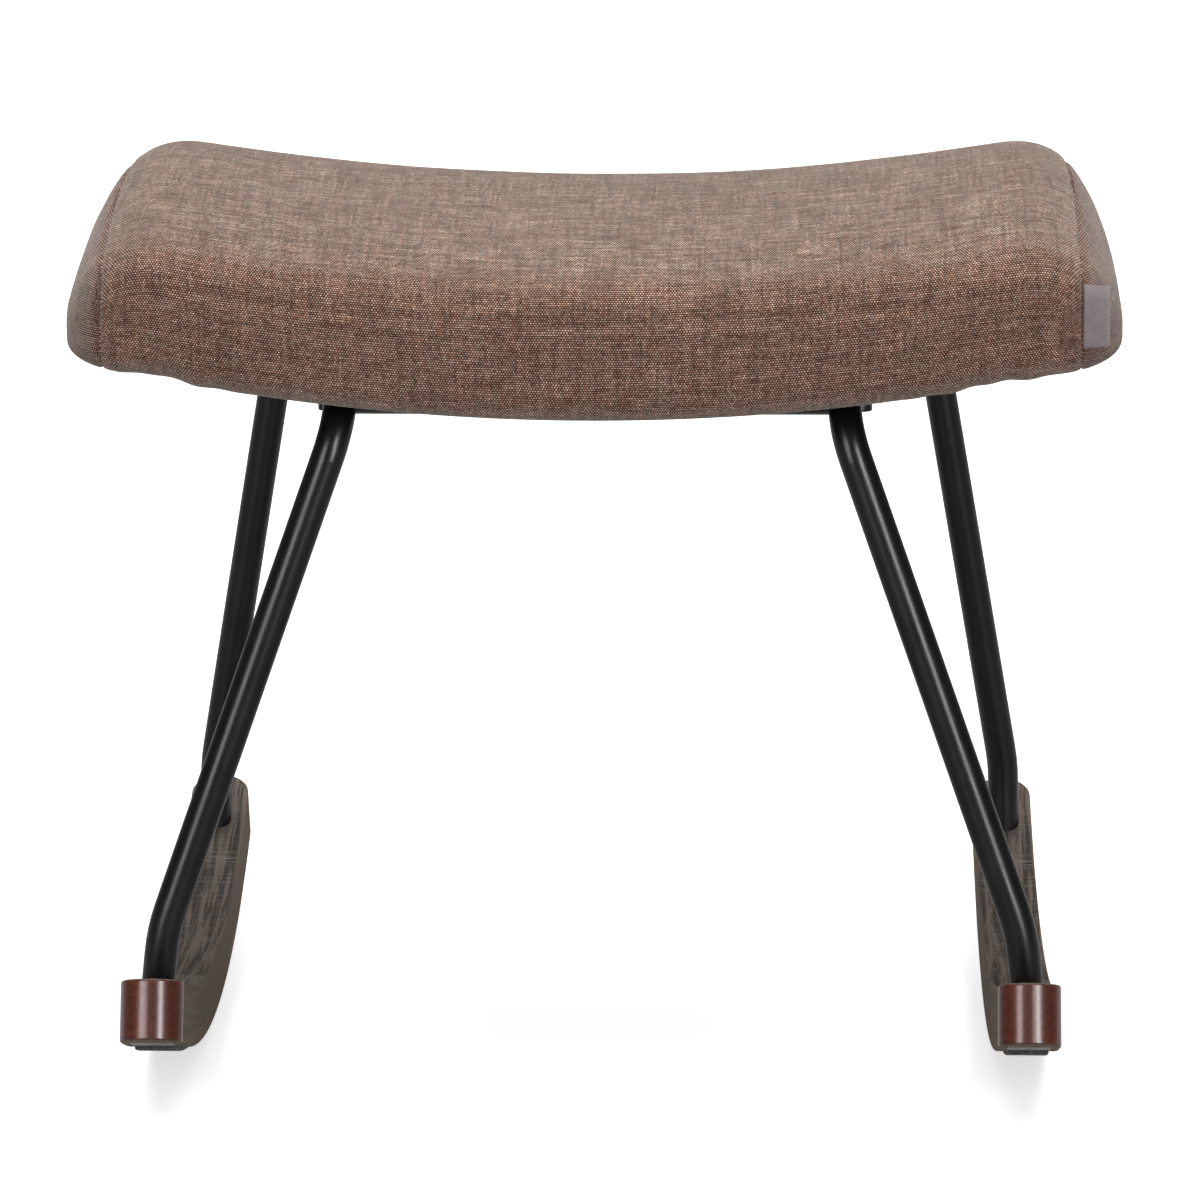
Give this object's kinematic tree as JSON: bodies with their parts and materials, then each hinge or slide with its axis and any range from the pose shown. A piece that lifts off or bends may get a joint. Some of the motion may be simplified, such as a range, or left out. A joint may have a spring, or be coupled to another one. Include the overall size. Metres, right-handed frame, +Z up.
{
  "type": "rocking footstool",
  "caption": "Footstool with an upholstered saddle seat on splayed bent-tube legs and curved wooden rockers.",
  "frame": {"origin": "on the floor, midway between the two rockers and under the middle of their arcs", "axes": "+X across the stool from the left rocker to the right one, +Y from the front to the back along the rockers, +Z up"},
  "size_m": [0.5068, 0.4052, 0.4364],
  "materials": {
    "walnut_stain": "semi-gloss, dark stain",
    "birch_plywood": "raw",
    "black_powder_coat": "satin",
    "zinc_plated_steel": "satin",
    "black_zinc_steel": "black zinc, satin",
    "carrier_plastic": "matte",
    "navy_felt": "fuzzy",
    "spacer_plastic": "matte",
    "seat_foam": "open-cell foam",
    "taupe_weave": "chenille plain weave",
    "black_lining": "non-woven",
    "tag_satin": "satin ribbon"
  },
  "bodies": {
    "root": {"left_rocker": "walnut_stain", "right_rocker": "walnut_stain", "left_carrier_strip": "carrier_plastic", "right_carrier_strip": "carrier_plastic", "left_felt_strip": "navy_felt", "right_felt_strip": "navy_felt", "carrier_nails": "zinc_plated_steel", "left_leg_hoop": "black_powder_coat", "right_leg_hoop": "black_powder_coat", "front_cross_tube": "black_powder_coat", "rear_cross_tube": "black_powder_coat", "leg_plugs": "zinc_plated_steel", "rocker_bolts": "zinc_plated_steel", "rocker_washers": "zinc_plated_steel", "front_seat_spacers": "spacer_plastic", "rear_seat_spacers": "spacer_plastic", "seat_screws": "black_zinc_steel", "tee_nuts": "zinc_plated_steel", "seat_base": "birch_plywood", "seat_foam": "seat_foam", "seat_cover": "taupe_weave", "left_end_gusset": "taupe_weave", "right_end_gusset": "taupe_weave", "dust_cover": "black_lining", "staples": "zinc_plated_steel", "seat_tag": "tag_satin"}
  },
  "joints": []
}
